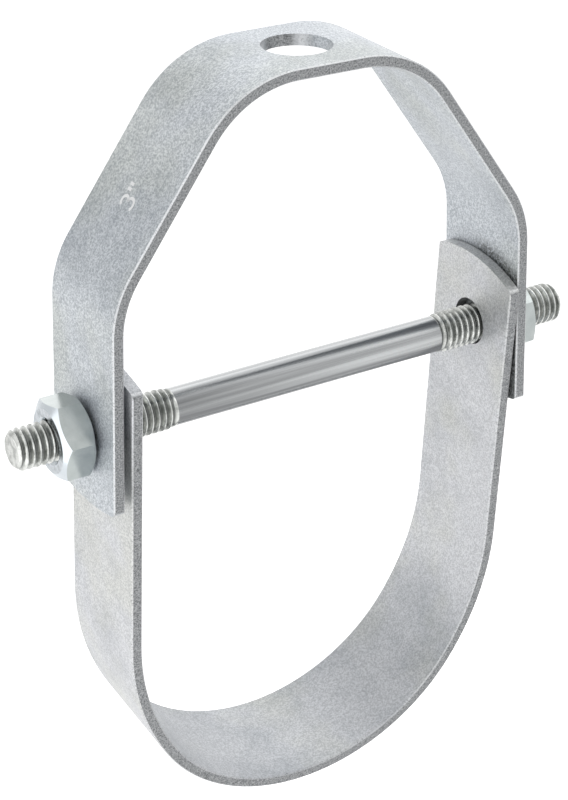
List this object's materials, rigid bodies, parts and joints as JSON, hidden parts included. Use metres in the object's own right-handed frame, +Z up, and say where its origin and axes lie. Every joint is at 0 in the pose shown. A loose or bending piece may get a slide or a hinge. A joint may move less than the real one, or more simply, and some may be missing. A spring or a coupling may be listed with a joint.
{
  "type": "clevis pipe hanger",
  "caption": "Galvanized steel strap hanger: a rod-hung clevis yoke with a U cradle for a horizontal pipe, joined by a threaded cross stud and hex nuts.",
  "frame": {"origin": "rod hole axis, in the top face of the yoke's flat top", "axes": "+X along the cross stud, +Y across the strap and along the pipe, +Z up along the hanging rod"},
  "size_m": [0.144, 0.0421, 0.1884],
  "materials": {
    "yoke_strap": "galvanized, satin",
    "cradle_strap": "galvanized, satin",
    "stud_zinc": "zinc plated, semi-bright",
    "nut_zinc": "zinc plated, bright"
  },
  "bodies": {
    "yoke": {"yoke": "yoke_strap"},
    "cradle": {"cradle": "cradle_strap"},
    "stud": {"cross_stud": "stud_zinc"},
    "nut_left": {"left_nut": "nut_zinc"},
    "nut_right": {"right_nut": "nut_zinc"}
  },
  "joints": [
    {"name": "cradle_swing", "type": "hinge", "parent": "yoke", "child": "cradle", "pos_m": [0, 0, -0.0774], "axis": [0.9998, 0, 0.0187], "range_deg": [-111, 99]},
    {"name": "stud_turn", "type": "hinge", "parent": "yoke", "child": "stud", "pos_m": [0, 0, -0.0774], "axis": [0.9998, 0, 0.0187], "continuous": true},
    {"name": "left_nut_run", "type": "slide", "parent": "stud", "child": "nut_left", "axis": [-0.9998, 0, -0.0187], "range_m": [0, 0.0172]},
    {"name": "right_nut_run", "type": "slide", "parent": "stud", "child": "nut_right", "axis": [0.9998, 0, 0.0187], "range_m": [0, 0.0188]}
  ]
}
